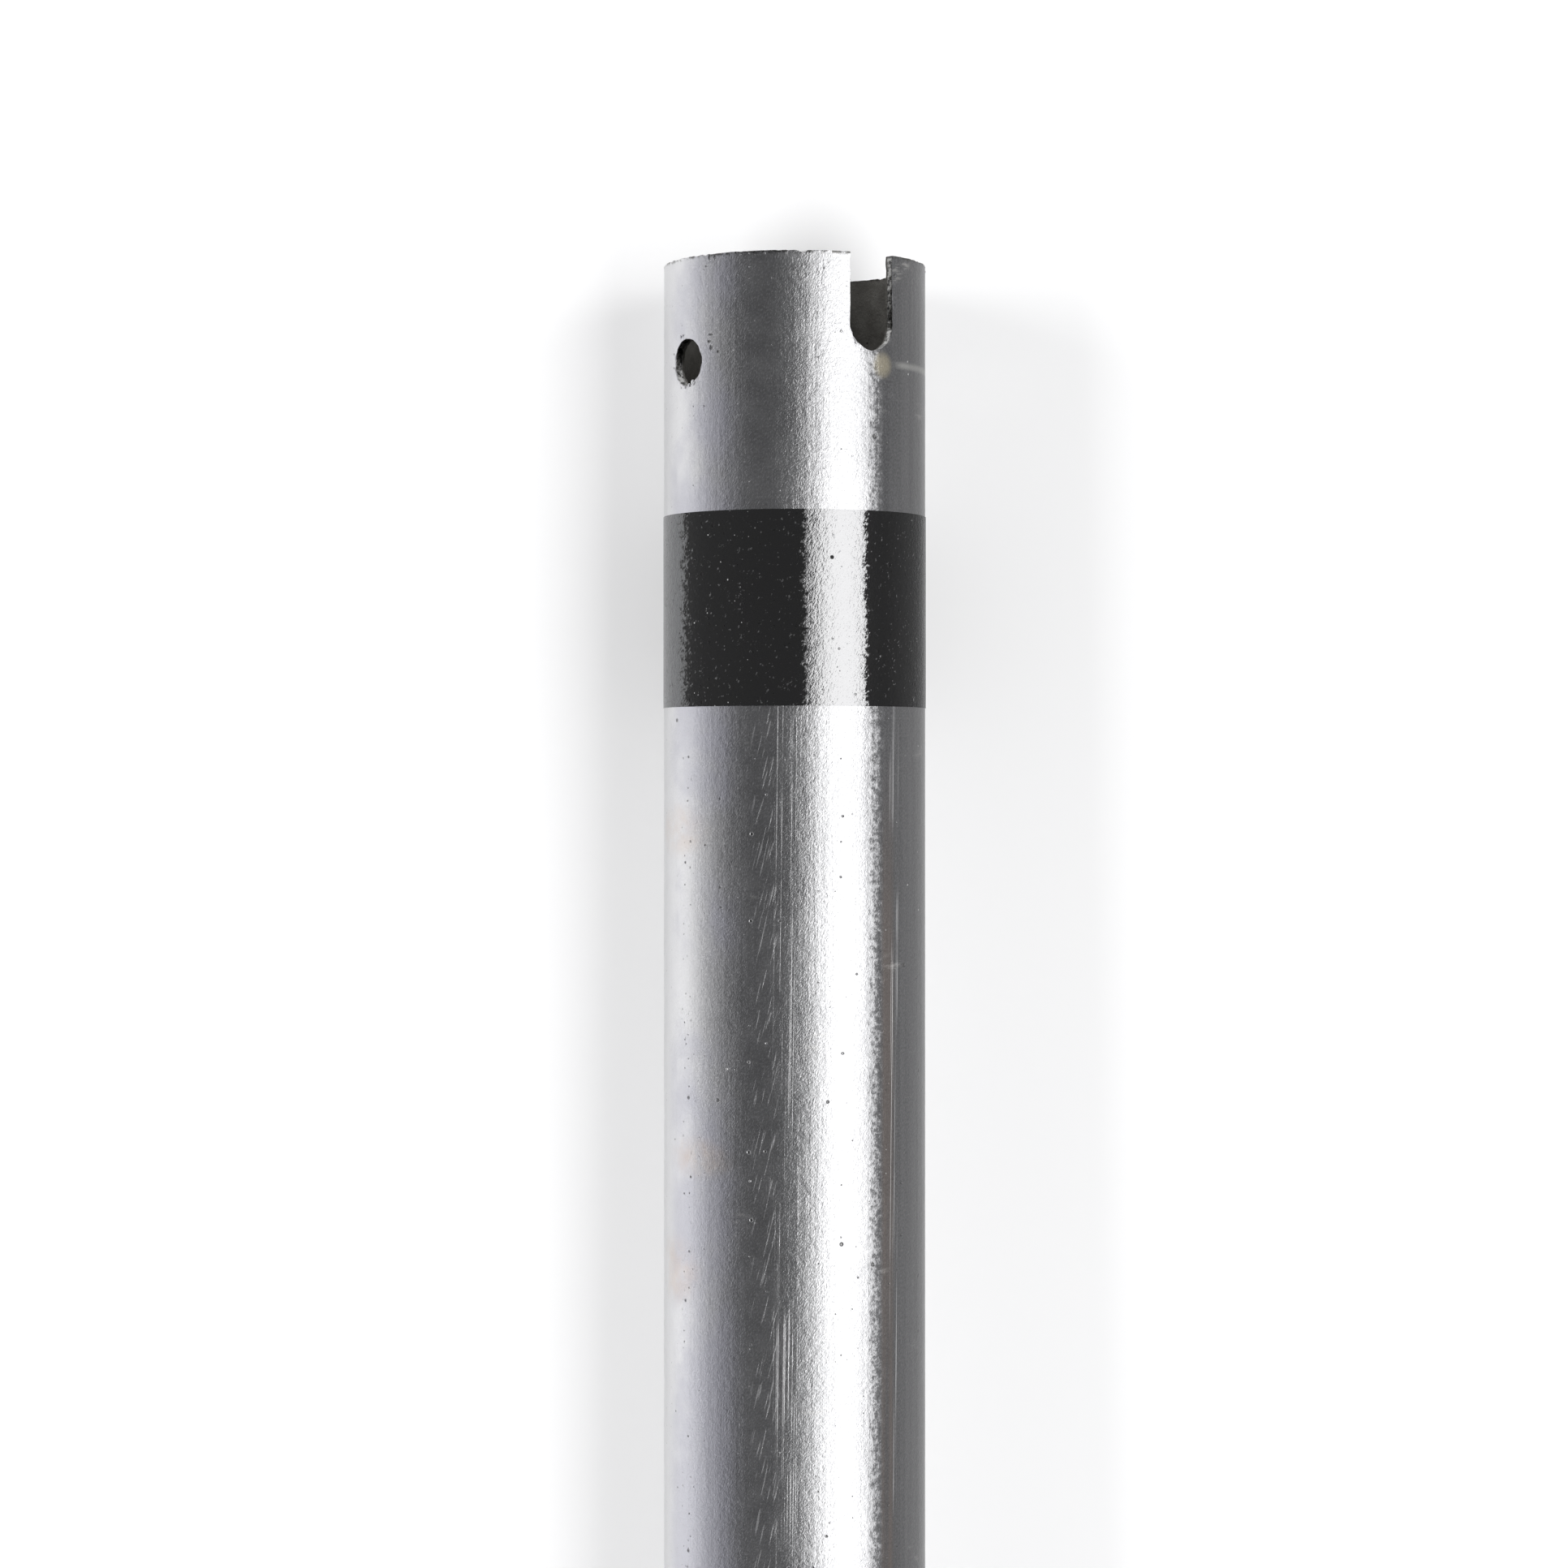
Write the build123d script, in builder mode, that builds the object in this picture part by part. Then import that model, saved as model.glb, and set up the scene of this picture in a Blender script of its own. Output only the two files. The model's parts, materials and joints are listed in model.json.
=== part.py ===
"""Foundation ground screw: a slotted steel tube forged to a cone, with a welded helical blade.

The screw lies on a floor at z = 0 as it comes to rest, with its open head towards +X and its
point towards -X. The origin is below the middle of its box. Stations run along the screw's own
axis, from 0 at the point to the full length at the rim of the head. All sizes are in millimetres.
"""

import os
from math import acos, atan, cos, degrees, radians, sin, tan

from build123d import *

# Tube and forged cone
tube_diameter = 76.1
wall = 3.0
overall_length = 1200.0
cone_length = 560.0
nose_radius = 11.0
nose_length = 16.0
nose_flat_radius = 6.5
solid_tip = 44.0
rim_break = 0.4

# Drive slots and cross-bolt hole in the head
slot_width = 15.0
slot_depth = 27.5
slot_angle = -54.4
bolt_diameter = 13.5
bolt_station = 30.0
bolt_from_slot = -90.0

# Helical blade, welded round the lower tube and the cone
blade_pitch = 55.0
blade_height = 15.0
blade_root_thickness = 3.2
blade_edge_thickness = 2.0
weld_gap = 0.3
blade_above_cone = 70.0
blade_bottom = 62.0
runout_turns = 0.5
runout_height = 3.0

# Vinyl wrap round the tube
label_from_rim = 73.0
label_width = 55.5
label_thickness = 0.2
label_gap = 0.05

# Sizes that follow from them
tube_radius = tube_diameter / 2
bore_radius = tube_radius - wall
blade_radius = tube_radius + weld_gap + blade_height
cone_taper = atan((tube_radius - nose_radius) / (cone_length - nose_length))
blade_top = cone_length + blade_above_cone
runout_length = blade_pitch * runout_turns
runout_top = blade_bottom + runout_length

# How it lies: on the lower edge of the rim and on the blade one turn below its upper end. The
# upper end stands just past the bottom of its turn, where it touches too and stops the screw rolling.
rest_station = blade_top - blade_pitch + blade_root_thickness / 2
dip = atan((blade_radius - tube_radius) / (overall_length - rest_station))
past_bottom = acos(1 - blade_pitch * tan(dip) / blade_radius)
blade_top_angle = 90 - degrees(past_bottom)

# The screw's own plane: at the point, facing the head, with its x to the side and its y to the floor.
tip_z = overall_length * sin(dip) + tube_radius * cos(dip)
tip_x = -(overall_length * cos(dip) + tube_radius * sin(dip)) / 2
tip_plane = Plane(origin=(tip_x, 0, tip_z), x_dir=(0, -1, 0), z_dir=(cos(dip), 0, -sin(dip)))
screw_axis = Axis(tip_plane.origin, tip_plane.z_dir)


def section_plane(angle):
    """A plane through the axis: x runs outwards at this angle round the screw, y to the head."""
    outwards = tip_plane.x_dir * cos(radians(angle)) + tip_plane.y_dir * sin(radians(angle))
    return Plane(origin=tip_plane.origin, x_dir=outwards, z_dir=outwards.cross(tip_plane.z_dir))


def side_plane(angle):
    """A plane through the axis that faces outwards at this angle, with its x to the head."""
    outwards = tip_plane.x_dir * cos(radians(angle)) + tip_plane.y_dir * sin(radians(angle))
    return Plane(origin=tip_plane.origin, x_dir=tip_plane.z_dir, z_dir=outwards)


# Tube with its forged cone and closed point, as one revolved wall
with BuildPart() as tube:
    with BuildSketch(section_plane(0)) as wall_profile:
        with BuildLine() as wall_outline:
            nose = Polyline((0, 0), (nose_flat_radius, 0), (nose_radius, nose_length))
            cone_and_tube = Polyline(nose @ 1, (tube_radius, cone_length), (tube_radius, overall_length))
            rim = Line(cone_and_tube @ 1, (bore_radius, overall_length))
            bore = Polyline(
                rim @ 1,
                (bore_radius, cone_length),
                (nose_radius - wall + (solid_tip - nose_length) * tan(cone_taper), solid_tip),
                (0, solid_tip),
            )
            Line(bore @ 1, (0, 0))
        make_face()
        chamfer(wall_profile.vertices().group_by(screw_axis)[-1], rim_break)
    revolve(axis=screw_axis)

    # Two drive slots, opposite each other: round at the bottom and open at the rim
    with BuildSketch(side_plane(slot_angle)):
        slot_centre = overall_length - slot_depth + slot_width / 2
        slot_run = slot_depth - slot_width / 2 + rim_break
        with Locations((slot_centre, 0)):
            Circle(slot_width / 2)
            Rectangle(slot_run, slot_width, align=(Align.MIN, Align.CENTER))
    extrude(amount=tube_diameter, both=True, mode=Mode.SUBTRACT)

    # Cross-bolt hole through both walls
    with BuildSketch(side_plane(slot_angle + bolt_from_slot)):
        with Locations((overall_length - bolt_station, 0)):
            Circle(bolt_diameter / 2)
    extrude(amount=tube_diameter, both=True, mode=Mode.SUBTRACT)


def root_radius(station):
    """The radius at the foot of the blade, a weld gap off the tube or the cone."""
    below_tube = max(cone_length - station, 0)
    return tube_radius - below_tube * tan(cone_taper) + weld_gap


def blade_corners(height):
    """Corners of the blade's section, as (out from the root, along the axis)."""
    half_root, half_edge = blade_root_thickness / 2, blade_edge_thickness / 2
    return [(0, half_root), (height, half_edge), (height, -half_edge), (0, -half_root)]


def blade_angle(station):
    return blade_top_angle - 360 * (blade_top - station) / blade_pitch


def corner_helices(low, high, low_height, high_height):
    """One right-handed helix for each corner of the section, from one station to a higher one."""
    for (low_out, along), (high_out, _) in zip(blade_corners(low_height), blade_corners(high_height)):
        low_radius = root_radius(low) + low_out
        taper = atan((root_radius(high) + high_out - low_radius) / (high - low))
        helix = Edge.make_helix(
            blade_pitch / cos(taper), high - low, low_radius, (0, 0, low + along), angle=degrees(taper)
        )
        yield helix.rotate(Axis.Z, blade_angle(low))


def blade_end(station, height):
    """The flat end of the blade, in the plane through the axis."""
    corners = [(root_radius(station) + out, 0, station + along) for out, along in blade_corners(height)]
    return Face(Wire.make_polygon(corners)).rotate(Axis.Z, blade_angle(station))


# Helical blade: ruled flanks between the helices of its corners, closed by its two ends
blade_stretches = [
    (blade_bottom, runout_top, runout_height, blade_height),
    (runout_top, cone_length, blade_height, blade_height),
    (cone_length, blade_top, blade_height, blade_height),
]
blade_faces = [blade_end(blade_bottom, runout_height), blade_end(blade_top, blade_height)]
for stretch in blade_stretches:
    helices = list(corner_helices(*stretch))
    for helix, next_helix in zip(helices, helices[1:] + helices[:1]):
        blade_faces.append(Face.make_surface_from_curves(helix, next_helix))

with BuildPart() as thread:
    add(Solid(Shell(blade_faces)).moved(tip_plane.location))

# Vinyl wrap, a closed band round the tube
with BuildPart() as label_band:
    with BuildSketch(section_plane(0)):
        with Locations((tube_radius + label_gap, overall_length - label_from_rim)):
            Rectangle(label_thickness, label_width, align=(Align.MIN, Align.MAX))
    revolve(axis=screw_axis)

os.makedirs("parts", exist_ok=True)
tube.part.label = "tube"
thread.part.label = "thread"
label_band.part.label = "label_band"
export_step(tube.part, "parts/tube.step")
export_step(thread.part, "parts/thread.step")
export_step(label_band.part, "parts/label_band.step")
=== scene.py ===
"""Foundation ground screw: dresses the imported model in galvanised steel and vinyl, and sets its stage."""

import json
import math

import bmesh
import bpy
from mathutils import Matrix, Vector, noise


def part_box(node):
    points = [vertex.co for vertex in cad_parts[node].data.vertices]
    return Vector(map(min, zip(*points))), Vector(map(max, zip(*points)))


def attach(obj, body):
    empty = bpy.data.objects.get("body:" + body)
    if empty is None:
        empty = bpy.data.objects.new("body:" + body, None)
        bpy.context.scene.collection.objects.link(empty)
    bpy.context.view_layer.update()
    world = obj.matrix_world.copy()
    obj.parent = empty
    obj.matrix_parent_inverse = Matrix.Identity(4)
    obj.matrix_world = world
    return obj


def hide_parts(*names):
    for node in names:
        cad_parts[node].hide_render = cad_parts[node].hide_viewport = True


bl_info = {
    "name": "Ground screw",
    "version": (1, 0, 0),
    "blender": (4, 5, 0),
    "location": "View3D > Sidebar > Ground screw",
    "description": "Models the finish of a galvanised ground screw and its studio",
    "category": "Object",
}

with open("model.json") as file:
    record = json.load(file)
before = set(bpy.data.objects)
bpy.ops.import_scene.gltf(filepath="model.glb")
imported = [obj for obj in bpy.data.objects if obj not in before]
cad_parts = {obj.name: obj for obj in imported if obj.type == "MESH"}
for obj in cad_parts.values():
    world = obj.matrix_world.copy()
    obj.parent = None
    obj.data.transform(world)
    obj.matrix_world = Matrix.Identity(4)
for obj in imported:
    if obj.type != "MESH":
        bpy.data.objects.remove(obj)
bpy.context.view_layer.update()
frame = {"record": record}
MM = 0.001
MOUNTS = {mount["name"]: mount for mount in frame["record"]["mounts"]}
SOCKET, BOLT = MOUNTS["head_socket"], MOUNTS["cross_bolt"]
AXIS = Vector(SOCKET["axis"]).normalized()
BORE_RADIUS = SOCKET["dims"]["r_mm"] * MM
BOLT_RADIUS = BOLT["dims"]["r_mm"] * MM
TUBE_LOW, TUBE_HIGH = (Vector(corner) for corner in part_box("tube"))
TUBE_RADIUS = (TUBE_HIGH.y - TUBE_LOW.y) / 2
LENGTH = (TUBE_HIGH.x - TUBE_LOW.x) * AXIS.x
SIDE = Vector((0, -1, 0))
FLOORWARD = AXIS.cross(SIDE)
HEAD = Vector(SOCKET["pos_m"])
HEAD += AXIS * ((TUBE_HIGH.x + TUBE_RADIUS * AXIS.z - HEAD.x) / AXIS.x)
TO_ROW = Matrix((SIDE, FLOORWARD, AXIS)).transposed().to_4x4()
TO_ROW.translation = HEAD


# ---------------------------------------------------------------------------
# Settings


class GroundScrewShape(bpy.types.PropertyGroup):
    """Sizes of the screw's details, in metres."""

    cone_length: bpy.props.FloatProperty(
        name="Cone length", description="Length of the forged cone", default=0.56, unit="LENGTH"
    )
    nose_radius: bpy.props.FloatProperty(
        name="Nose radius",
        description="Radius where the cone meets its blunt nose",
        default=0.011,
        unit="LENGTH",
    )
    nose_length: bpy.props.FloatProperty(
        name="Nose length", description="Length of the blunt nose", default=0.016, unit="LENGTH"
    )
    slot_width: bpy.props.FloatProperty(
        name="Slot width", description="Width of a drive slot", default=0.015, unit="LENGTH"
    )
    slot_depth: bpy.props.FloatProperty(
        name="Slot depth", description="Depth of a drive slot below the rim", default=0.0275, unit="LENGTH"
    )
    bolt_depth: bpy.props.FloatProperty(
        name="Bolt depth", description="Cross-bolt hole's centre below the rim", default=0.03, unit="LENGTH"
    )
    blade_pitch: bpy.props.FloatProperty(
        name="Blade pitch", description="Distance between turns of the blade", default=0.055, unit="LENGTH"
    )
    blade_height: bpy.props.FloatProperty(
        name="Blade height", description="How far the blade stands off the tube", default=0.015, unit="LENGTH"
    )
    label_from_rim: bpy.props.FloatProperty(
        name="Label from rim", description="From the rim to the label's edge", default=0.073, unit="LENGTH"
    )
    label_width: bpy.props.FloatProperty(
        name="Label width", description="Width of the vinyl label", default=0.0555, unit="LENGTH"
    )


class GroundScrewFinish(bpy.types.PropertyGroup):
    """Colours of the finishes and the strength of the lamps."""

    zinc: bpy.props.FloatVectorProperty(
        name="Zinc", description="Bright zinc", subtype="COLOR", size=3, default=(0.40, 0.40, 0.405)
    )
    inner_zinc: bpy.props.FloatVectorProperty(
        name="Inner zinc",
        description="Dull zinc in the bore",
        subtype="COLOR",
        size=3,
        default=(0.2, 0.195, 0.18),
    )
    vinyl: bpy.props.FloatVectorProperty(
        name="Vinyl", description="Label's vinyl", subtype="COLOR", size=3, default=(0.012, 0.012, 0.0122)
    )
    floor: bpy.props.FloatVectorProperty(
        name="Floor", description="Studio floor", subtype="COLOR", size=3, default=(0.86, 0.86, 0.86)
    )
    softbox_watts: bpy.props.FloatProperty(
        name="Softbox", description="Power of the large softbox", default=23.0, subtype="POWER"
    )
    low_watts: bpy.props.FloatProperty(
        name="Low lamp", description="Power of the low side lamp", default=26.0, subtype="POWER"
    )


# ---------------------------------------------------------------------------
# Shader maths


class Signal:
    """One value on a material's wires. Arithmetic on it adds Math nodes."""

    def __init__(self, bench, socket):
        self.bench = bench
        self.socket = socket

    def maths(self, operation, *others):
        operands = dict(enumerate((self, *others)))
        return self.bench.node("ShaderNodeMath", {"operation": operation}, operands)

    def __add__(self, other):
        return self.maths("ADD", other)

    def __sub__(self, other):
        return self.maths("SUBTRACT", other)

    def __mul__(self, other):
        return self.maths("MULTIPLY", other)

    def __truediv__(self, other):
        return self.maths("DIVIDE", other)

    def __rsub__(self, other):
        return (self * -1) + other

    __radd__ = __add__
    __rmul__ = __mul__

    def larger(self, other):
        return self.maths("MAXIMUM", other)

    def smaller(self, other):
        return self.maths("MINIMUM", other)

    def distance_to(self, other):
        return (self - other).maths("ABSOLUTE")

    def step(self, low, high):
        """0 below low, 1 above high, and smooth between. A low above high turns it round."""
        settings = {"interpolation_type": "SMOOTHSTEP", "clamp": True}
        if low > high:
            return 1 - self.step(high, low)
        inputs = {"Value": self, "From Min": low, "From Max": high, "To Min": 0.0, "To Max": 1.0}
        return self.bench.node("ShaderNodeMapRange", settings, inputs)

    def band(self, centre, half, soft):
        """1 within half of centre, fading to 0 over soft."""
        return self.distance_to(centre).step(half + soft, half)


class Bench:
    """Builds one material's nodes."""

    def __init__(self, name):
        self.material = bpy.data.materials.new(name)
        self.material.use_nodes = True
        self.tree = self.material.node_tree
        self.tree.nodes.clear()

    def node(self, kind, settings=None, inputs=None, output=0):
        """Adds a node, with its settings first and then the values or links of its inputs."""
        added = self.tree.nodes.new(kind)
        for key, value in (settings or {}).items():
            setattr(added, key, value)
        for key, value in (inputs or {}).items():
            self.feed(added.inputs[key], value)
        return Signal(self, added.outputs[output])

    def feed(self, socket, value):
        if isinstance(value, Signal):
            self.tree.links.new(value.socket, socket)
        else:
            socket.default_value = value

    def vector(self, x, y, z):
        return self.node("ShaderNodeCombineXYZ", None, {0: x, 1: y, 2: z})

    def noise(self, where, scale, detail=2.0, roughness=0.5, distortion=0.0):
        inputs = {"Vector": where, "Scale": scale, "Detail": detail}
        inputs.update({"Roughness": roughness, "Distortion": distortion})
        return self.node("ShaderNodeTexNoise", None, inputs)

    def specks(self, where, scale, radius, share):
        """Round dots: radius as a share of a cell, in this share of the cells."""
        cell = {"Vector": where, "Scale": scale, "Randomness": 1.0}
        away = self.node("ShaderNodeTexVoronoi", None, cell)
        chosen = self.node("ShaderNodeTexVoronoi", None, cell, output=1)
        pick = self.node("ShaderNodeSeparateColor", None, {0: chosen})
        size = self.node("ShaderNodeSeparateColor", None, {0: chosen}, output=1)
        return (away / (size * 0.7 + 0.5)).step(radius, radius * 0.45) * pick.step(share, share - 0.01)

    def blend(self, factor, first, second):
        """A colour between two colours."""
        inputs = {0: factor}
        for key, colour in ((6, first), (7, second)):
            inputs[key] = colour if isinstance(colour, Signal) else (*colour, 1.0)
        return self.node("ShaderNodeMix", {"data_type": "RGBA"}, inputs, output=2)

    def bump(self, height, depth, normal=None):
        """Relief of this depth in metres, on top of another."""
        inputs = {"Height": height, "Distance": depth, "Strength": 1.0}
        if normal is not None:
            inputs["Normal"] = normal
        return self.node("ShaderNodeBump", None, inputs)

    def finish(self, **inputs):
        values = {name.replace("_", " "): value for name, value in inputs.items()}
        shader = self.node("ShaderNodeBsdfPrincipled", None, values)
        out = self.tree.nodes.new("ShaderNodeOutputMaterial")
        self.tree.links.new(shader.socket, out.inputs["Surface"])
        return self.material


class ScrewPlaces:
    """Where a point lies on the screw: its place from the rim, its angle from the top and its radius."""

    def __init__(self, bench):
        settings = {"vector_type": "TEXTURE"}
        inputs = {
            "Vector": bench.node("ShaderNodeTexCoord", None, None, output=3),
            "Location": HEAD,
            "Rotation": TO_ROW.to_euler(),
        }
        self.point = bench.node("ShaderNodeMapping", settings, inputs)
        split = bench.node("ShaderNodeSeparateXYZ", None, {0: self.point})
        tree_node = split.socket.node
        self.x, self.y, self.z = (Signal(bench, tree_node.outputs[i]) for i in range(3))
        self.radius = (self.x * self.x + self.y * self.y).maths("SQRT")
        turn = self.x.maths("ARCTAN2", self.y * -1)
        self.angle = turn * (180 / math.pi)
        self.round = turn * TUBE_RADIUS
        self.below_rim = self.z * -1000


def stretched(bench, places, across, along, slant=0.0):
    """Places scaled to so many repeats a metre round the screw and along it, leaning by slant."""
    return bench.vector((places.round - places.z * slant) * across, places.z * along, 0.0)


def spot(places, angle, below_rim, wide, long):
    """A soft oval mark: its angle, place and half sizes in degrees and millimetres."""
    across = (places.angle - angle) / wide
    down = (places.below_rim - below_rim) / long
    return (across * across + down * down).step(1.0, 0.0)


# Linear colours of what lies on the zinc, and of the painted shade and painted reflection on its sides
ZINC_SHADE = (0.30, 0.30, 0.305)
DRAW_STREAK = (0.26, 0.26, 0.27)
GRAIN_PEAK, GRAIN_VALLEY = (0.85, 0.85, 0.87), (0.12, 0.12, 0.125)
# painted shade: dark colours that stand in for the dark reflection on the right flank
PAINTED_SHADE_DARK, PAINTED_SHADE_LIGHT = (0.04, 0.04, 0.042), (0.085, 0.085, 0.087)
# painted reflection: a pale colour that stands in for the floor's bright reflection on the left side
PAINTED_SIDE_REFLECTION = (0.66, 0.66, 0.67)
VIOLET_BLOOM = (0.36, 0.36, 0.42)
RUST_TINT = (0.52, 0.38, 0.28)
BROWN_STREAK = (0.12, 0.098, 0.086)
FLUX_DRIP = (0.36, 0.32, 0.22)
TIDE_MARK = (0.6, 0.6, 0.56)
RUBBED = (0.62, 0.61, 0.58)
SCRATCHED = (0.72, 0.72, 0.72)
PIT_DIRT = (0.06, 0.06, 0.058)
PIMPLE = (0.7, 0.7, 0.7)
BORE_DARK_MOTTLE = (0.09, 0.085, 0.075)
RIM_CHIP = (0.05, 0.047, 0.042)
CUT_DARK, CUT_LIGHT = (0.03, 0.03, 0.028), (0.42, 0.42, 0.41)

# Linear colours of the vinyl's painted highlight on its crown and painted reflection on its shoulder, and of
# the dust and painted glints on it
VINYL_PAINTED_HIGHLIGHT, VINYL_PAINTED_REFLECTION = (0.24, 0.24, 0.242), (0.115, 0.118, 0.122)
VINYL_DUST_AND_GLINTS = (0.5, 0.5, 0.5)


def scratch_marks(bench, at):
    """Long scratches in bundles down the tube, and short slanting dashes beside the main one."""
    lines = bench.noise(stretched(bench, at, 2600.0, 8.0, 0.012), 1.0, 1.0, 0.4)
    breaks = bench.noise(stretched(bench, at, 120.0, 26.0), 1.0, 2.0, 0.5)
    bundle = at.angle.band(-4.0, 2.5, 5.0) + at.angle.band(48.0, 1.0, 3.0) * 0.7
    bundle = bundle + at.angle.band(-150.0, 4.0, 8.0)
    scratches = lines.step(0.585, 0.66) * breaks.step(0.38, 0.55) * bundle
    scratches = scratches * at.below_rim.step(60.0, 120.0)
    dashes = bench.noise(stretched(bench, at, 1900.0, 85.0, 0.24), 1.0, 1.0, 0.5).step(0.615, 0.68)
    dashes = dashes * at.angle.band(-13.0, 3.5, 4.0) * at.below_rim.step(100.0, 140.0) * 0.7
    return (scratches + dashes).smaller(1.0)


def rub_marks(bench, at):
    """Pale smears where the tube was rubbed across."""
    smears = bench.noise(stretched(bench, at, 70.0, 300.0, 0.6), 1.0, 4.0, 0.7).step(0.52, 0.7)
    patches = bench.noise(stretched(bench, at, 45.0, 60.0), 1.0, 1.0, 0.5).step(0.62, 0.7)
    return smears * patches * at.angle.step(-45.0, -25.0)


def dark_marks(bench, at):
    """Small scuffs beside the hole, nicks in the rim and a column of pits down the left."""
    scuffs = spot(at, -38.6, 26.6, 1.1, 1.0) + spot(at, -39.6, 24.8, 1.3, 0.6)
    scuffs = scuffs + spot(at, -38.8, 22.9, 1.5, 0.5)
    nicks = spot(at, -39.7, 0.9, 0.9, 0.8) + spot(at, -36.9, 0.8, 0.8, 0.7)
    column = bench.specks(at.point, 460.0, 0.24, 0.6) * at.angle.band(-54.0, 1.6, 2.4)
    return column * at.below_rim.step(120.0, 135.0) + (scuffs + nicks).smaller(1.0)


def tone_and_painted_light(bench, at, base, clouds, streaks, grain, lumps):
    """The tube's broad tones: painted shade on the right flank with a ragged border, a painted reflection on
    the left side, and a violet bloom.
    """
    # painted shade: the right flank is darkened from about 29 degrees to 120 degrees from the top, with a
    # ragged border
    border = at.angle.step(29.0, 44.0)
    ragged = (grain + lumps - 1.0) * border * (1 - border) * 9
    painted_shade_mask = (border + ragged).step(0.1, 0.9) * at.angle.step(120.0, 84.0)
    # painted reflection: the left side is lightened from about -31 degrees to -150 degrees from the top
    painted_reflection_mask = at.angle.step(-31.0, -62.0) * at.angle.step(-150.0, -110.0)
    violet = at.angle.band(-47.0, 14.0, 14.0) * clouds.step(0.4, 0.6)
    flank_tone = grain.step(0.3, 0.7) * 0.6 + streaks.step(0.3, 0.7) * 0.4
    flank = bench.blend(flank_tone, PAINTED_SHADE_DARK, PAINTED_SHADE_LIGHT)
    base = bench.blend(grain.step(0.5, 0.72) * 0.3, base, GRAIN_PEAK)
    base = bench.blend(grain.step(0.48, 0.28) * 0.25, base, GRAIN_VALLEY)
    # painted shade over the right flank
    base = bench.blend(painted_shade_mask * 0.9, base, flank)
    # painted reflection over the left side
    base = bench.blend(painted_reflection_mask * 0.85, base, PAINTED_SIDE_REFLECTION)
    return bench.blend(violet * 0.55, base, VIOLET_BLOOM)


def stains(bench, at, base, drip, mottle, streaks):
    """Rust tints on the left, a brown streak on the right, and flux that dripped from the slot."""
    rust = spot(at, -62.0, 164.0, 26.0, 9.0) + spot(at, -48.0, 257.0, 24.0, 7.0)
    rust = (rust + spot(at, -64.0, 290.0, 22.0, 12.0)).smaller(1.0) * mottle.step(0.2, 0.8)
    streak = at.angle.band(44.0, 1.8, 3.2) * at.below_rim.step(130.0, 200.0) * streaks.step(0.2, 0.6)
    tide = at.below_rim.band(31.0, 0.1, 1.4) * at.angle.step(46.0, 54.0) * at.angle.step(95.0, 85.0)
    base = bench.blend(rust * 0.35, base, RUST_TINT)
    base = bench.blend(streak * 0.55, base, BROWN_STREAK)
    base = bench.blend(drip * 0.45, base, FLUX_DRIP)
    return bench.blend(tide * 0.22, base, TIDE_MARK)


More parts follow.
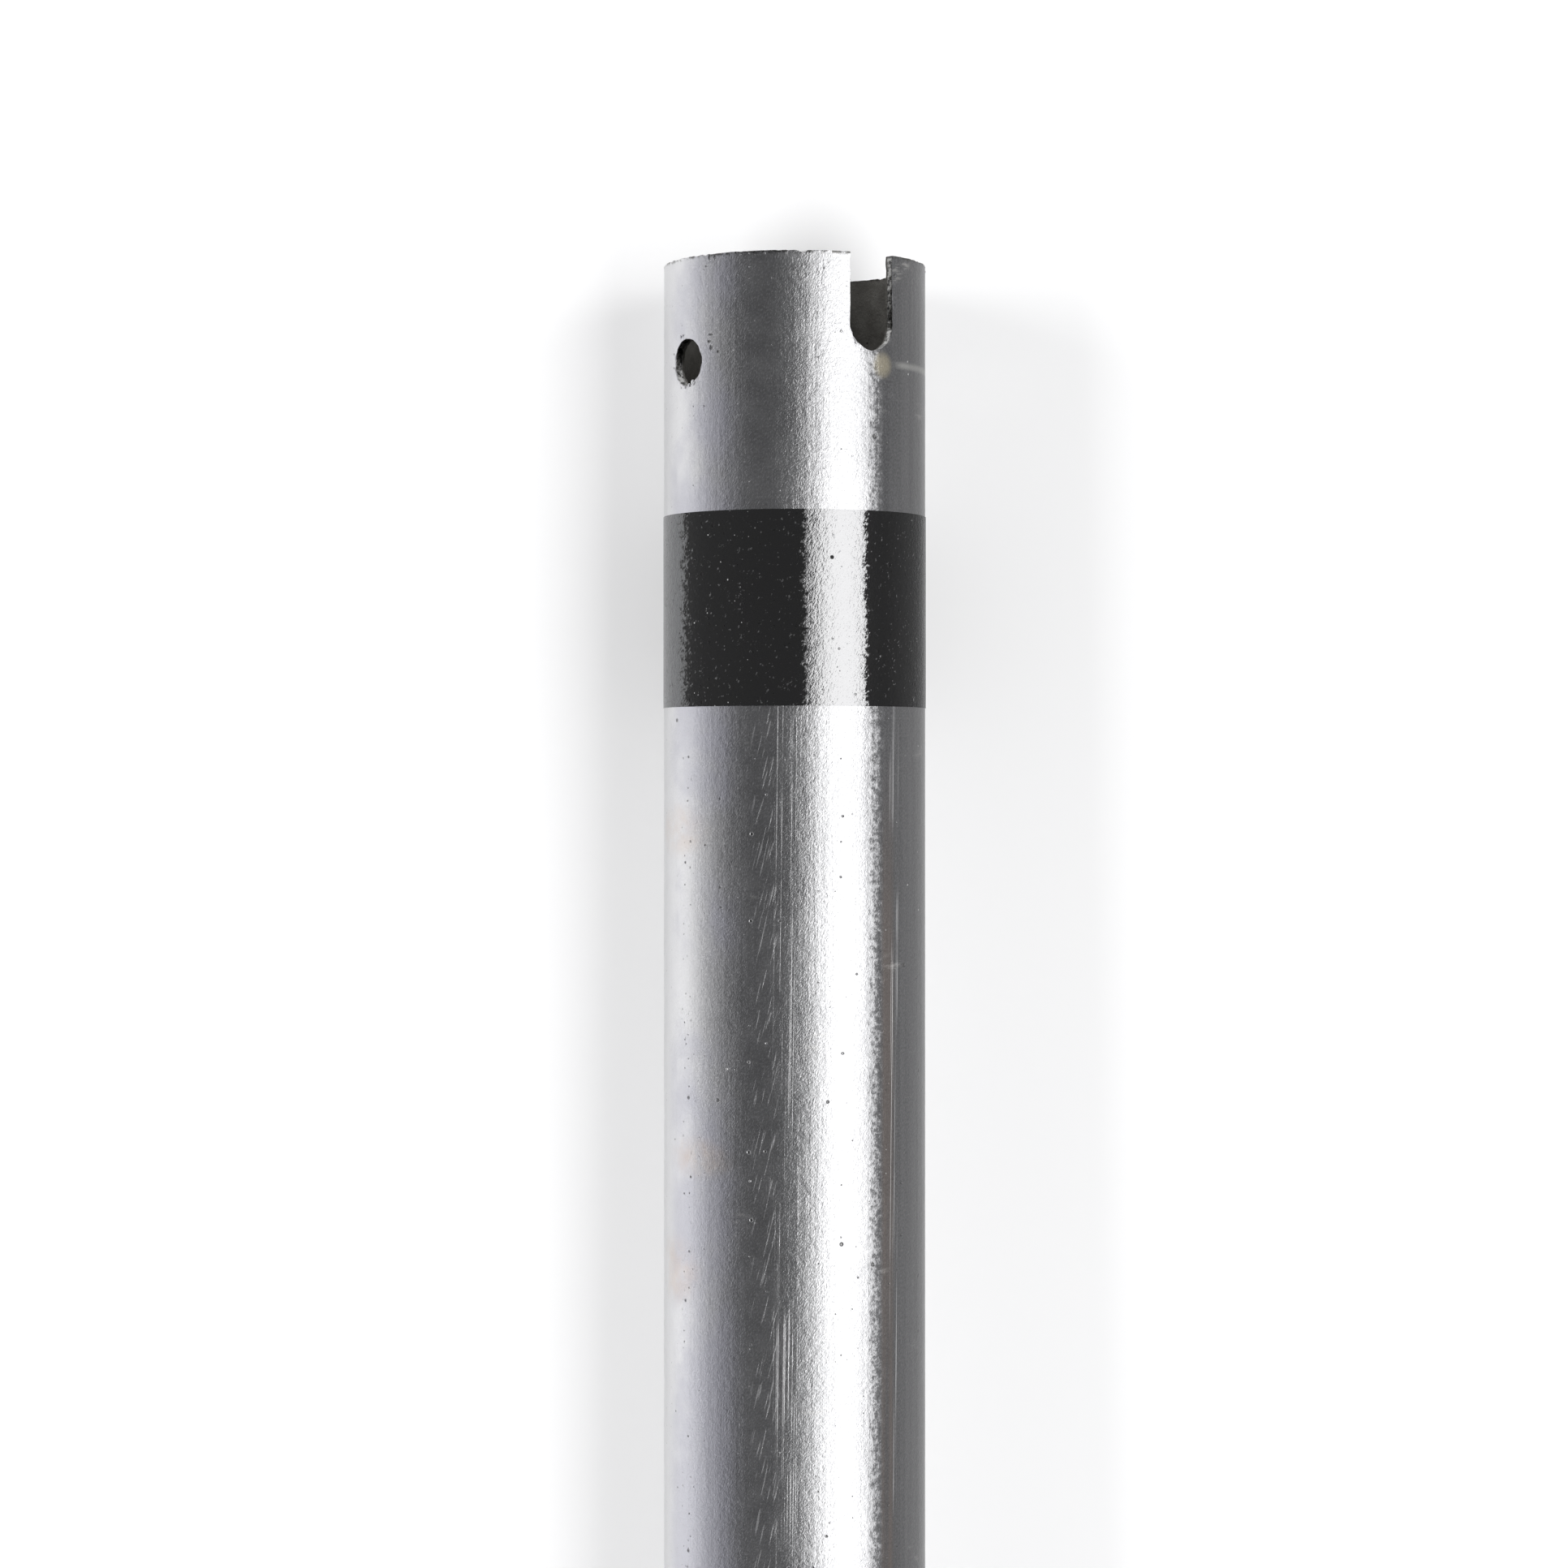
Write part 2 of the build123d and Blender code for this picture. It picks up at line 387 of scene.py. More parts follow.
def make_zinc(name, on_tube):
    """Hot-dip zinc. On the tube it also has scratches, rubs, stains and cut edges, painted shade on its right
    flank and a painted reflection on its left side.
    """
    finish = bpy.context.scene.ground_screw_finish
    bench = Bench(name)
    at = ScrewPlaces(bench)

    clouds = bench.noise(at.point, 22.0, 4.0, 0.6)
    mottle = bench.noise(at.point, 160.0, 3.0, 0.6)
    streaks = bench.noise(stretched(bench, at, 420.0, 7.0), 1.0, 3.0, 0.6)
    grain = bench.noise(stretched(bench, at, 2300.0, 1400.0, 0.35), 1.0, 2.0, 0.6)
    lumps = bench.noise(at.point, 620.0, 2.0, 0.55)
    fine_pits = bench.specks(at.point, 620.0, 0.17, 0.10)
    dirt = (bench.specks(at.point, 230.0, 0.15, 0.2) + fine_pits * 0.8).smaller(1.0)
    pimples = bench.specks(at.point, 310.0, 0.12, 0.10)

    cloudy = clouds.step(0.3, 0.7) * 0.5 + mottle.step(0.25, 0.75) * 0.5
    base = bench.blend(cloudy, ZINC_SHADE, finish.zinc)
    base = bench.blend(streaks.step(0.55, 0.75) * 0.25, base, DRAW_STREAK)
    roughness = 0.27 + clouds * 0.1 + (mottle - 0.5) * 0.08

    if on_tube:
        marks = scratch_marks(bench, at)
        rubs = rub_marks(bench, at)
        drip = spot(at, 41.0, 31.5, 6.5, 4.5)
        # broad tones, with painted shade on the right flank and a painted reflection on the left side
        base = tone_and_painted_light(bench, at, base, clouds, streaks, grain, lumps)
        base = stains(bench, at, base, drip, mottle, streaks)
        base = bench.blend(rubs * 0.3, base, RUBBED)
        base = bench.blend(marks * 0.75, base, SCRATCHED)
        roughness = roughness + marks * 0.2 + rubs * 0.14 + drip * 0.1
        dirt = (dirt + dark_marks(bench, at)).smaller(1.0)

    base = bench.blend(dirt * 0.75, base, PIT_DIRT)
    base = bench.blend(pimples * 0.5, base, PIMPLE)

    if on_tube:
        # darker, duller zinc inside the bore, mottled towards a near-black tone
        inside = at.radius.step(BORE_RADIUS + 0.9 * MM, BORE_RADIUS + 0.5 * MM)
        inside = inside * at.below_rim.step(640.0, 600.0)
        inner_tone = mottle.step(0.2, 0.8) * 0.6 + fine_pits * 0.4
        base = bench.blend(inside, base, bench.blend(inner_tone, finish.inner_zinc, BORE_DARK_MOTTLE))
        roughness = roughness + inside * 0.3
        crumbs = bench.noise(at.point, 620.0, 3.0, 0.7)
        chips = crumbs.step(0.46, 0.58) * at.below_rim.step(1.2, 0.2)
        base = bench.blend(chips * 0.85, base, RIM_CHIP)
        cut = at.radius.step(TUBE_RADIUS - 0.2 * MM, TUBE_RADIUS - 0.5 * MM) * (1 - inside)
        cut = cut * at.below_rim.step(50.0, 40.0) * at.below_rim.step(0.2, 1.0)
        cut_tone = bench.blend(crumbs.step(0.4, 0.6), CUT_DARK, CUT_LIGHT)
        base = bench.blend(cut, base, cut_tone)

    relief = bench.bump(grain, 0.00009)
    relief = bench.bump(lumps, 0.00012, relief)
    relief = bench.bump(streaks, 0.00008, relief)
    relief = bench.bump(pimples - dirt, 0.00025, relief)
    if on_tube:
        relief = bench.bump(marks, 0.00002, relief)
    return bench.finish(Base_Color=base, Metallic=1.0, Roughness=roughness, Normal=relief)


def make_vinyl():
    """Vinyl over the zinc's grain and grit, with a metallic painted highlight on its crown and a metallic
    painted reflection on its left shoulder, and plain dark vinyl elsewhere.
    """
    finish = bpy.context.scene.ground_screw_finish
    bench = Bench("black_vinyl_painted_sheen")
    at = ScrewPlaces(bench)
    grain = bench.noise(stretched(bench, at, 1700.0, 1100.0, 0.35), 1.0, 2.0, 0.6)
    lumps = bench.noise(at.point, 560.0, 3.0, 0.6)
    grit = bench.specks(at.point, 480.0, 0.2, 0.3)
    pits = bench.specks(at.point, 300.0, 0.16, 0.14)
    # pale specks, partly dust and partly painted glints, crowded round 42 degrees left of the top
    dust_and_painted_glints = bench.specks(at.point, 520.0, 0.13, 0.2) * (at.angle.band(-42.0, 12.0, 20.0) * 0.9 + 0.1)

    ragged = (lumps + grain - 1.0) * 1.5
    # painted highlight: a metallic band on the crown, where the softbox's highlight falls
    crown = (at.angle.band(18.0, 9.5, 7.5) + ragged).step(0.3, 0.6)
    # painted reflection: a metallic band on the left shoulder
    shoulder = (at.angle.band(-84.0, 18.0, 20.0) + ragged).step(0.3, 0.8)
    painted_sheen_zone = crown.larger(shoulder * (0.75 + 0.2 * lumps)) * (1 - pits)
    # painted highlight and painted reflection, set as metallic colour
    base = bench.blend(painted_sheen_zone, finish.vinyl, bench.blend(shoulder, VINYL_PAINTED_HIGHLIGHT, VINYL_PAINTED_REFLECTION))
    base = bench.blend(dust_and_painted_glints * 0.7, base, VINYL_DUST_AND_GLINTS)
    roughness = 0.14 + bench.noise(at.point, 60.0, 2.0, 0.5) * 0.1
    relief = bench.bump(grain, 0.00011)
    relief = bench.bump(lumps, 0.00016, relief)
    relief = bench.bump(grit - pits, 0.0003, relief)
    return bench.finish(Base_Color=base, Metallic=painted_sheen_zone, Roughness=roughness, Normal=relief, IOR=1.12)


# ---------------------------------------------------------------------------
# Modelling


def deselect_all():
    bpy.ops.object.select_all(action="DESELECT")


def take(made, name):
    """Names a new object and makes it the only one selected."""
    deselect_all()
    made.name = name
    made.data.name = name
    made.select_set(True)
    bpy.context.view_layer.objects.active = made
    return made


def lay_down(piece):
    """Moves a piece modelled upright, with its rim at the origin, to where the screw lies."""
    piece.matrix_world = TO_ROW @ piece.matrix_world
    deselect_all()
    piece.select_set(True)
    bpy.context.view_layer.objects.active = piece
    bpy.ops.object.transform_apply(location=True, rotation=True, scale=True)


def apply_modifiers(piece):
    bpy.context.view_layer.objects.active = piece
    for modifier in list(piece.modifiers):
        bpy.ops.object.modifier_apply(modifier=modifier.name)


SPIN_STEPS = 256


def dress(piece, node, material):
    """Puts the finished piece in place of its CAD node."""
    piece.data.materials.clear()
    piece.data.materials.append(material)
    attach(piece, "root")
    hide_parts(node)


def outer_radius(below_rim, shape):
    """The tube's or the cone's outer radius at this place below the rim."""
    below_tube = max(below_rim - (LENGTH - shape.cone_length), 0.0)
    cone_run = shape.cone_length - shape.nose_length
    return TUBE_RADIUS - below_tube * (TUBE_RADIUS - shape.nose_radius) / cone_run


def spin_profile(name, profile, steps):
    """A closed profile of (radius, height) points, spun round the upright axis."""
    bpy.ops.mesh.primitive_plane_add(size=1.0)
    piece = take(bpy.context.object, name)
    bpy.ops.object.mode_set(mode="EDIT")
    mesh = bmesh.from_edit_mesh(piece.data)
    bmesh.ops.delete(mesh, geom=mesh.verts[:], context="VERTS")
    corners = [mesh.verts.new((radius, 0.0, height)) for radius, height in profile]
    for corner, following in zip(corners, corners[1:]):
        mesh.edges.new((corner, following))
    bmesh.update_edit_mesh(piece.data)
    bpy.ops.mesh.select_all(action="SELECT")
    bpy.ops.mesh.spin(steps=steps, angle=2 * math.pi, center=(0, 0, 0), axis=(0, 0, 1))
    bpy.ops.mesh.select_all(action="SELECT")
    bpy.ops.mesh.remove_doubles(threshold=0.000005)
    bpy.ops.mesh.select_all(action="SELECT")
    bpy.ops.mesh.normals_make_consistent(inside=False)
    bpy.ops.object.mode_set(mode="OBJECT")
    return piece


def cut_with(piece, cutter):
    """Cuts one piece out of another and throws the cutter away."""
    modifier = piece.modifiers.new("cut", "BOOLEAN")
    modifier.operation = "DIFFERENCE"
    modifier.solver = "EXACT"
    modifier.object = cutter
    deselect_all()
    piece.select_set(True)
    bpy.context.view_layer.objects.active = piece
    bpy.ops.object.modifier_apply(modifier=modifier.name)
    bpy.data.objects.remove(cutter, do_unlink=True)


def angle_of(direction):
    """The angle round the upright screw of a direction in the row."""
    return math.atan2(direction.dot(FLOORWARD), direction.dot(SIDE))


def slot_cutter(shape, angle):
    """A bar with a round lower end, across both walls."""
    bpy.ops.mesh.primitive_cylinder_add(vertices=96, radius=shape.slot_width / 2, depth=TUBE_RADIUS * 3)
    cutter = take(bpy.context.object, "slot_cutter")
    bpy.ops.object.mode_set(mode="EDIT")
    mesh = bmesh.from_edit_mesh(cutter.data)
    for vertex in mesh.verts:
        vertex.select_set(vertex.co.x > 0.0001)
    mesh.select_flush_mode()
    bmesh.update_edit_mesh(cutter.data)
    bpy.ops.mesh.select_mode(type="VERT")
    bpy.ops.transform.translate(value=(shape.slot_depth, 0, 0))
    bpy.ops.object.mode_set(mode="OBJECT")
    # the cylinder's own z lies across the screw and its x points up to the rim
    cutter.matrix_world = (
        Matrix.Translation((0, 0, shape.slot_width / 2 - shape.slot_depth))
        @ Matrix.Rotation(angle, 4, "Z")
        @ Matrix.Rotation(-math.pi / 2, 4, "Y")
    )
    return cutter


def hole_cutter(shape, angle):
    bpy.ops.mesh.primitive_cylinder_add(vertices=96, radius=BOLT_RADIUS, depth=TUBE_RADIUS * 3)
    cutter = take(bpy.context.object, "hole_cutter")
    cutter.matrix_world = (
        Matrix.Translation((0, 0, -shape.bolt_depth))
        @ Matrix.Rotation(angle, 4, "Z")
        @ Matrix.Rotation(math.pi / 2, 4, "Y")
    )
    return cutter


class GROUNDSCREW_OT_tube(bpy.types.Operator):
    """Models the tube with its cone, drive slots, cross-bolt hole and rough cut edges"""

    bl_idname = "ground_screw.tube"
    bl_label = "Tube"

    BEVEL_WIDTH = 0.00045
    # the roughness reaches this far from a cut edge, on this much of the head
    EDGE_REACH, HEAD_DEPTH = 0.0012, 0.045
    # repeats a metre, and how far each moves the edge
    COARSE_REPEATS, COARSE_SIZE = 700, 0.00022
    FINE_REPEATS, FINE_SIZE = 2100, 0.0001
    NICK_REPEATS, NICK_THRESHOLD = 330, 0.38
    RIM_NICK, LIP_NICK = 0.0026, 0.0009

    def execute(self, context):
        shape = context.scene.ground_screw_shape
        rim_rows = [0.0, 0.0004, 0.001, 0.002, 0.004]
        head_rows = [0.006 + 0.003 * row for row in range(14)]
        wall_rows = [0.06 + (LENGTH - shape.cone_length - 0.06) * row / 8 for row in range(9)]
        outer = [(TUBE_RADIUS, -row) for row in rim_rows + head_rows + wall_rows]
        inner = [(BORE_RADIUS, -row) for row in rim_rows + head_rows + wall_rows]
        wall = TUBE_RADIUS - BORE_RADIUS
        cone = [LENGTH - shape.cone_length * (1 - part / 10) for part in range(1, 10)]
        outer += [(outer_radius(row, shape), -row) for row in cone]
        inner += [(outer_radius(row, shape) - wall, -row) for row in cone[:-1]]
        nose_top = LENGTH - shape.nose_length
        outer += [(shape.nose_radius, -nose_top)]
        for turn in (0.35, 0.7, 1.05, 1.35, math.pi / 2):
            nose = shape.nose_radius * (0.6 + 0.4 * math.cos(turn))
            outer += [(nose, -nose_top - shape.nose_length * math.sin(turn))]
        outer += [(0.0, -LENGTH)]
        inner += [(0.0, inner[-1][1] - 0.004)]
        piece = spin_profile("screw_tube", outer[::-1] + inner, SPIN_STEPS)
        hole_angle = angle_of(Vector(BOLT["axis"]))
        slot_angle = hole_angle + math.pi / 2
        cut_with(piece, slot_cutter(shape, slot_angle))
        cut_with(piece, hole_cutter(shape, hole_angle))
        self.roughen(piece, shape, slot_angle, hole_angle)
        piece.data.shade_smooth()
        bpy.ops.object.shade_smooth_by_angle(angle=math.radians(35))
        lay_down(piece)
        dress(piece, "tube", make_zinc("galvanised_zinc", True))
        return {"FINISHED"}

    def roughen(self, piece, shape, slot_angle, hole_angle):
        """Breaks the cut edges with a small bevel, then makes them uneven as thick zinc leaves them."""
        bevel = piece.modifiers.new("bevel", "BEVEL")
        bevel.width = self.BEVEL_WIDTH
        bevel.segments = 2
        bevel.limit_method = "ANGLE"
        bevel.angle_limit = math.radians(50)
        bevel.use_clamp_overlap = True
        apply_modifiers(piece)
        for vertex in piece.data.vertices:
            place = vertex.co
            if place.z < -self.HEAD_DEPTH:
                continue
            out = Vector((place.x, place.y, 0.0))
            near_rim = max(0.0, 1 - abs(place.z) / self.EDGE_REACH)
            across = Vector((-math.sin(slot_angle), math.cos(slot_angle), 0)).dot(place)
            above = max(place.z + shape.slot_depth - shape.slot_width / 2, 0.0)
            down = min(place.z + shape.slot_depth - shape.slot_width / 2, 0.0)
            from_middle = math.hypot(across, down) if above == 0 else abs(across)
            from_slot = abs(from_middle - shape.slot_width / 2)
            near_slot = max(0.0, 1 - from_slot / self.EDGE_REACH)
            over = Vector((-math.sin(hole_angle), math.cos(hole_angle), 0)).dot(place)
            from_hole = abs(math.hypot(over, place.z + shape.bolt_depth) - BOLT_RADIUS)
            near_hole = max(0.0, 1 - from_hole / self.EDGE_REACH)
            near = max(near_rim, near_slot, near_hole)
            if near <= 0:
                continue
            coarse = noise.noise_vector(place * self.COARSE_REPEATS) * self.COARSE_SIZE
            fine = noise.noise_vector(place * self.FINE_REPEATS) * self.FINE_SIZE
            nick = max(0.0, noise.noise(place * self.NICK_REPEATS) - self.NICK_THRESHOLD)
            nick *= self.RIM_NICK if near_rim > 0 else self.LIP_NICK
            inward = Vector((0, 0, -1)) if near_rim > 0 else out.normalized() * -0.4
            vertex.co += (coarse + fine) * near + inward * nick * near
            if vertex.co.z > 0:
                vertex.co.z *= 0.2


class GROUNDSCREW_OT_beads(bpy.types.Operator):
    """Models the drops of zinc that froze on the lips of the hole, the slot and the rim"""

    bl_idname = "ground_screw.beads"
    bl_label = "Zinc beads"

    # each drop's degrees from the top, millimetres below the rim, and half width in millimetres
    DROPS = (
        (-59.3, 22.5, 0.55), (-57.6, 22.2, 0.4), (-66.0, 27.0, 0.4), (-66.2, 31.0, 0.35),
        (-49.9, 36.0, 0.8), (-52.6, 36.6, 0.5), (-55.8, 37.0, 0.45), (-59.0, 37.0, 0.4),
        (-39.7, 1.9, 0.45), (-36.9, 1.7, 0.4), (-32.0, 1.1, 0.35), (-24.0, 0.9, 0.3),
        (-13.0, 0.8, 0.35), (48.6, 5.7, 0.5), (49.0, 14.0, 0.35), (27.0, 25.6, 0.4),
        (29.5, 27.6, 0.35), (124.0, 36.4, 0.6), (120.0, 22.8, 0.5), (-131.0, 8.0, 0.5),
        (-146.5, 28.4, 0.6), (160.0, 1.0, 0.4), (92.0, 1.0, 0.4), (-98.0, 1.2, 0.45),
    )
    # how lumpy a drop is, its lumps' repeats, what sets one drop's lumps apart, and how flat it lies
    LUMP, LUMP_REPEATS, APART, FLATTENED = 0.25, 1.3, 900, 0.45

    def execute(self, context):
        bpy.ops.mesh.primitive_ico_sphere_add(subdivisions=3, radius=1.0)
        piece = take(bpy.context.object, "zinc_beads")
        drop = bmesh.new()
        drop.from_mesh(piece.data)
        drops = bmesh.new()
        for angle, below_rim, half in self.DROPS:
            turn = math.radians(angle) - math.pi / 2
            out = Vector((math.cos(turn), math.sin(turn), 0.0))
            centre = out * TUBE_RADIUS + Vector((0, 0, -below_rim * MM))
            added = {}
            for vertex in drop.verts:
                lump = noise.noise(vertex.co * self.LUMP_REPEATS + centre * self.APART)
                lumpy = vertex.co * (1 + self.LUMP * lump)
                place = centre + lumpy * half * MM
                place -= out * out.dot(lumpy) * half * MM * self.FLATTENED
                added[vertex.index] = drops.verts.new(place)
            for face in drop.faces:
                drops.faces.new([added[vertex.index] for vertex in face.verts])
        drops.to_mesh(piece.data)
        drops.free()
        drop.free()
        piece.data.shade_smooth()
        lay_down(piece)
        piece.data.materials.append(bpy.data.materials["galvanised_zinc"])
        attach(piece, "root")
        return {"FINISHED"}


class GROUNDSCREW_OT_blade(bpy.types.Operator):
    """Models the helical blade with its weld bead"""

    bl_idname = "ground_screw.blade"
    bl_label = "Blade"

    # the blade starts this far above the cone and ends this far above the tip
    ABOVE_CONE, ABOVE_TIP = 0.07, 0.062
    STEPS_PER_TURN = 120
    # the root stands this far off the tube, and the weld bead ends this far out from it
    ROOT_GAP, WELD_TOE = 0.0003, 0.0026
    # the weld's ripple: its height, its repeats round the screw, and the lag between its two sides
    RIPPLE, RIPPLE_REPEATS, RIPPLE_LAG = 0.00022, 46, 1.3
    # how far the blade's edge waves, and how often along the screw
    WAVE, WAVE_REPEATS = 0.0006, 12
    EDGE_BAND = 0.0004

    def execute(self, context):
        shape = context.scene.ground_screw_shape
        piece = self.wind(shape)
        lay_down(piece)
        dress(piece, "thread", make_zinc("galvanised_blade_zinc", False))
        return {"FINISHED"}

    def wind(self, shape):
        """Bends a long grid into the blade: rows along the helix, columns round the section."""
        blade_top = LENGTH - shape.cone_length - self.ABOVE_CONE
        blade_bottom = LENGTH - self.ABOVE_TIP
        turns = (blade_bottom - blade_top) / shape.blade_pitch
        steps = int(turns * self.STEPS_PER_TURN)
        lowest = TUBE_RADIUS + self.ROOT_GAP + shape.blade_height
        dip = math.atan2(-AXIS.z, AXIS.x)
        past_bottom = math.acos(1 - shape.blade_pitch * math.tan(dip) / lowest)
        top_angle = math.pi / 2 - past_bottom
        section = self.section(shape)
        bpy.ops.mesh.primitive_grid_add(x_subdivisions=steps, y_subdivisions=len(section), size=1.0)
        piece = take(bpy.context.object, "screw_blade")
        columns = steps + 1
        for index, vertex in enumerate(piece.data.vertices):
            step, side = index % columns, index // columns
            share = step / steps
            down = blade_top + (blade_bottom - blade_top) * share
            angle = top_angle - 2 * math.pi * turns * share
            out, along = section[side % len(section)]
            runout = min(1.0, (blade_bottom - down) / (shape.blade_pitch / 2))
            height = shape.blade_height * (0.2 + 0.8 * runout)
            if out > self.WELD_TOE:
                left = max(height - self.WELD_TOE, self.EDGE_BAND)
                out = self.WELD_TOE + (out - self.WELD_TOE) * left / (shape.blade_height - self.WELD_TOE)
            bead = 0.0
            if 0.0002 < out < 0.0028:
                lag = math.copysign(self.RIPPLE_LAG, along)
                bead = self.RIPPLE * math.sin(angle * self.RIPPLE_REPEATS + lag)
            around = Vector((math.cos(angle), math.sin(angle), down * self.WAVE_REPEATS))
            wave = noise.noise(around) * self.WAVE * out / shape.blade_height
            past_edge = max(out - shape.blade_height + self.EDGE_BAND, 0.0)
            radius = outer_radius(down, shape) + self.ROOT_GAP + out - past_edge * 0.2
            height_place = -down + along + math.copysign(bead, along) + wave
            vertex.co = Vector((radius * math.cos(angle), radius * math.sin(angle), height_place))
        bpy.ops.object.mode_set(mode="EDIT")
        bpy.ops.mesh.select_all(action="SELECT")
        bpy.ops.mesh.remove_doubles(threshold=0.000005)
        bpy.ops.mesh.select_all(action="DESELECT")
        bpy.ops.mesh.select_mode(type="EDGE")
        bpy.ops.mesh.select_non_manifold()
        bpy.ops.mesh.edge_face_add()
        bpy.ops.mesh.select_all(action="SELECT")
        bpy.ops.mesh.normals_make_consistent(inside=False)
        bpy.ops.object.mode_set(mode="OBJECT")
        piece.data.shade_smooth()
        bpy.ops.object.shade_smooth_by_angle(angle=math.radians(40))
        return piece

    def section(self, shape):
        """Half the blade's section from its root to its edge, and back down the other half."""
        upper = [(0.0, 0.0042), (0.0008, 0.0030), (0.0017, 0.0021), (0.0026, 0.0016)]
        upper += [(shape.blade_height * part, 0.0016 - 0.0006 * part) for part in (0.4, 0.7, 0.97)]
        upper += [(shape.blade_height, 0.0006)]
        points = upper + [(out, -along) for out, along in reversed(upper)]
        return points + points[:1]


class GROUNDSCREW_OT_label(bpy.types.Operator):
    """Models the vinyl wrap with its lap seam at the back"""

    bl_idname = "ground_screw.label"
    bl_label = "Label"

    # the wrap's underside and face stand this far off the tube
    UNDERSIDE, FACE = 0.00004, 0.00022
    # where the lap starts and how wide it is, in degrees, how far it is raised, and its ends' slope
    SEAM, LAP, LAP_RAISE, LAP_SLOPE = 75, 16, 0.00016, 0.02

    def execute(self, context):
        shape = context.scene.ground_screw_shape
        inner, outer = TUBE_RADIUS + self.UNDERSIDE, TUBE_RADIUS + self.FACE
        top, bottom = -shape.label_from_rim, -shape.label_from_rim - shape.label_width
        rows = [top + (bottom - top) * row / 24 for row in range(25)]
        profile = [(inner, top)] + [(outer, row) for row in rows] + [(inner, bottom), (inner, top)]
        piece = spin_profile("vinyl_wrap", profile, SPIN_STEPS)
        seam, lap = math.radians(self.SEAM), math.radians(self.LAP)
        for vertex in piece.data.vertices:
            place = vertex.co
            radius = math.hypot(place.x, place.y)
            turn = (math.atan2(place.y, place.x) - seam) % (2 * math.pi)
            if radius > TUBE_RADIUS + 0.0001 and turn < lap:
                raised = self.LAP_RAISE * min(1.0, turn / self.LAP_SLOPE)
                raised *= min(1.0, (lap - turn) / self.LAP_SLOPE)
                place.x *= 1 + raised / radius
                place.y *= 1 + raised / radius
        piece.data.shade_smooth()
        bpy.ops.object.shade_smooth_by_angle(angle=math.radians(40))
        lay_down(piece)
        dress(piece, "label_band", make_vinyl())
        return {"FINISHED"}


# ---------------------------------------------------------------------------
# Stage


def area_lamp(name, watts, target, direction, distance, size, mirrored=True):
    """A rectangular lamp that looks at the screw from this many degrees off its top, towards its side."""
    bpy.ops.object.light_add(type="AREA")
    lamp = bpy.context.object
    lamp.name = name
    lamp.data.shape = "RECTANGLE"
    lamp.data.energy = watts
    lamp.data.size, lamp.data.size_y = size
    turn = math.radians(direction)
    back = SIDE * math.sin(turn) - FLOORWARD * math.cos(turn)
    right = AXIS.cross(back).normalized()
    facing = Matrix((right, AXIS, back)).transposed().to_4x4()
    facing.translation = target + back * distance
    lamp.matrix_world = facing
    lamp.visible_camera = False
    lamp.visible_glossy = mirrored
    return lamp


